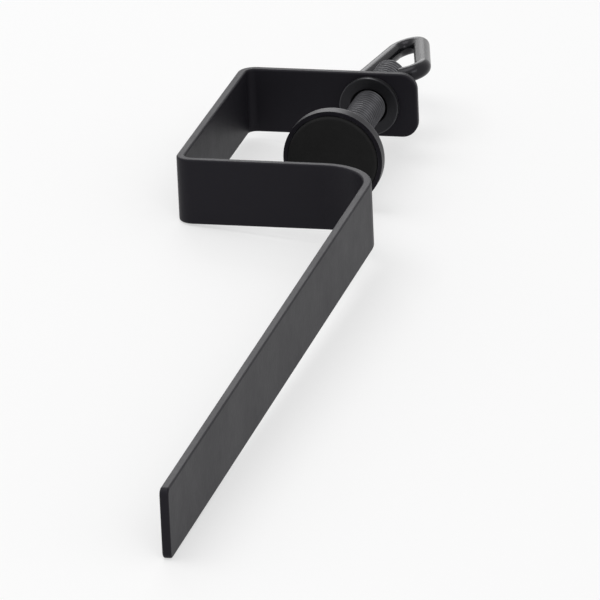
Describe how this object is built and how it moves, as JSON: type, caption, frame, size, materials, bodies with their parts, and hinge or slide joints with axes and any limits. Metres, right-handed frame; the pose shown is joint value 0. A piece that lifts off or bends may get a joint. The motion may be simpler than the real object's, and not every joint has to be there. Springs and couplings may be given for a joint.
{
  "type": "table tennis net clamp",
  "caption": "Bent steel strip clamp for a table tennis net: C-shaped jaws, an upright net post, and a screw with a swivelling disc and a wire loop handle.",
  "frame": {"origin": "on the table seat, the inner face of the top jaw, where the axis of the screw meets it", "axes": "+Y along the screw from the seat to the handle, +X out of the mouth of the jaws, +Z up across the strip as the clamp lies on its side; in use the post stands up and -Y is up"},
  "size_m": [0.0376, 0.2349, 0.018],
  "materials": {
    "gloss_black_paint": "gloss black stove enamel on steel",
    "black_zinc_steel": "black zinc plate on steel, machined",
    "black_wire": "gloss black paint on bent steel wire",
    "black_rubber": "matt moulded rubber"
  },
  "bodies": {
    "frame": {"clamp_frame": "gloss_black_paint", "thread_bush": "black_zinc_steel"},
    "disc": {"pressure_disc": "gloss_black_paint", "swivel_washer": "black_zinc_steel", "disc_pad": "black_rubber"},
    "screw": {"clamp_screw": "black_zinc_steel"},
    "handle": {"wire_handle": "black_wire"}
  },
  "joints": [
    {"name": "disc_slide", "type": "slide", "parent": "frame", "child": "disc", "axis": [0, 1, 0], "range_m": [-0.0055, 0.0225]},
    {"name": "screw_turn", "type": "hinge", "parent": "disc", "child": "screw", "pos_m": [0, 0, 0], "axis": [0, 1, 0], "range_deg": [-1980, 8100]},
    {"name": "handle_swing", "type": "hinge", "parent": "screw", "child": "handle", "pos_m": [0, 0.0619, 0], "axis": [0.9613, 0, 0.2756], "range_deg": [-90, 90]}
  ],
  "couplings": [
    {"joint": "screw_turn", "follows": "disc_slide", "rad_per_m": 6283.2}
  ]
}
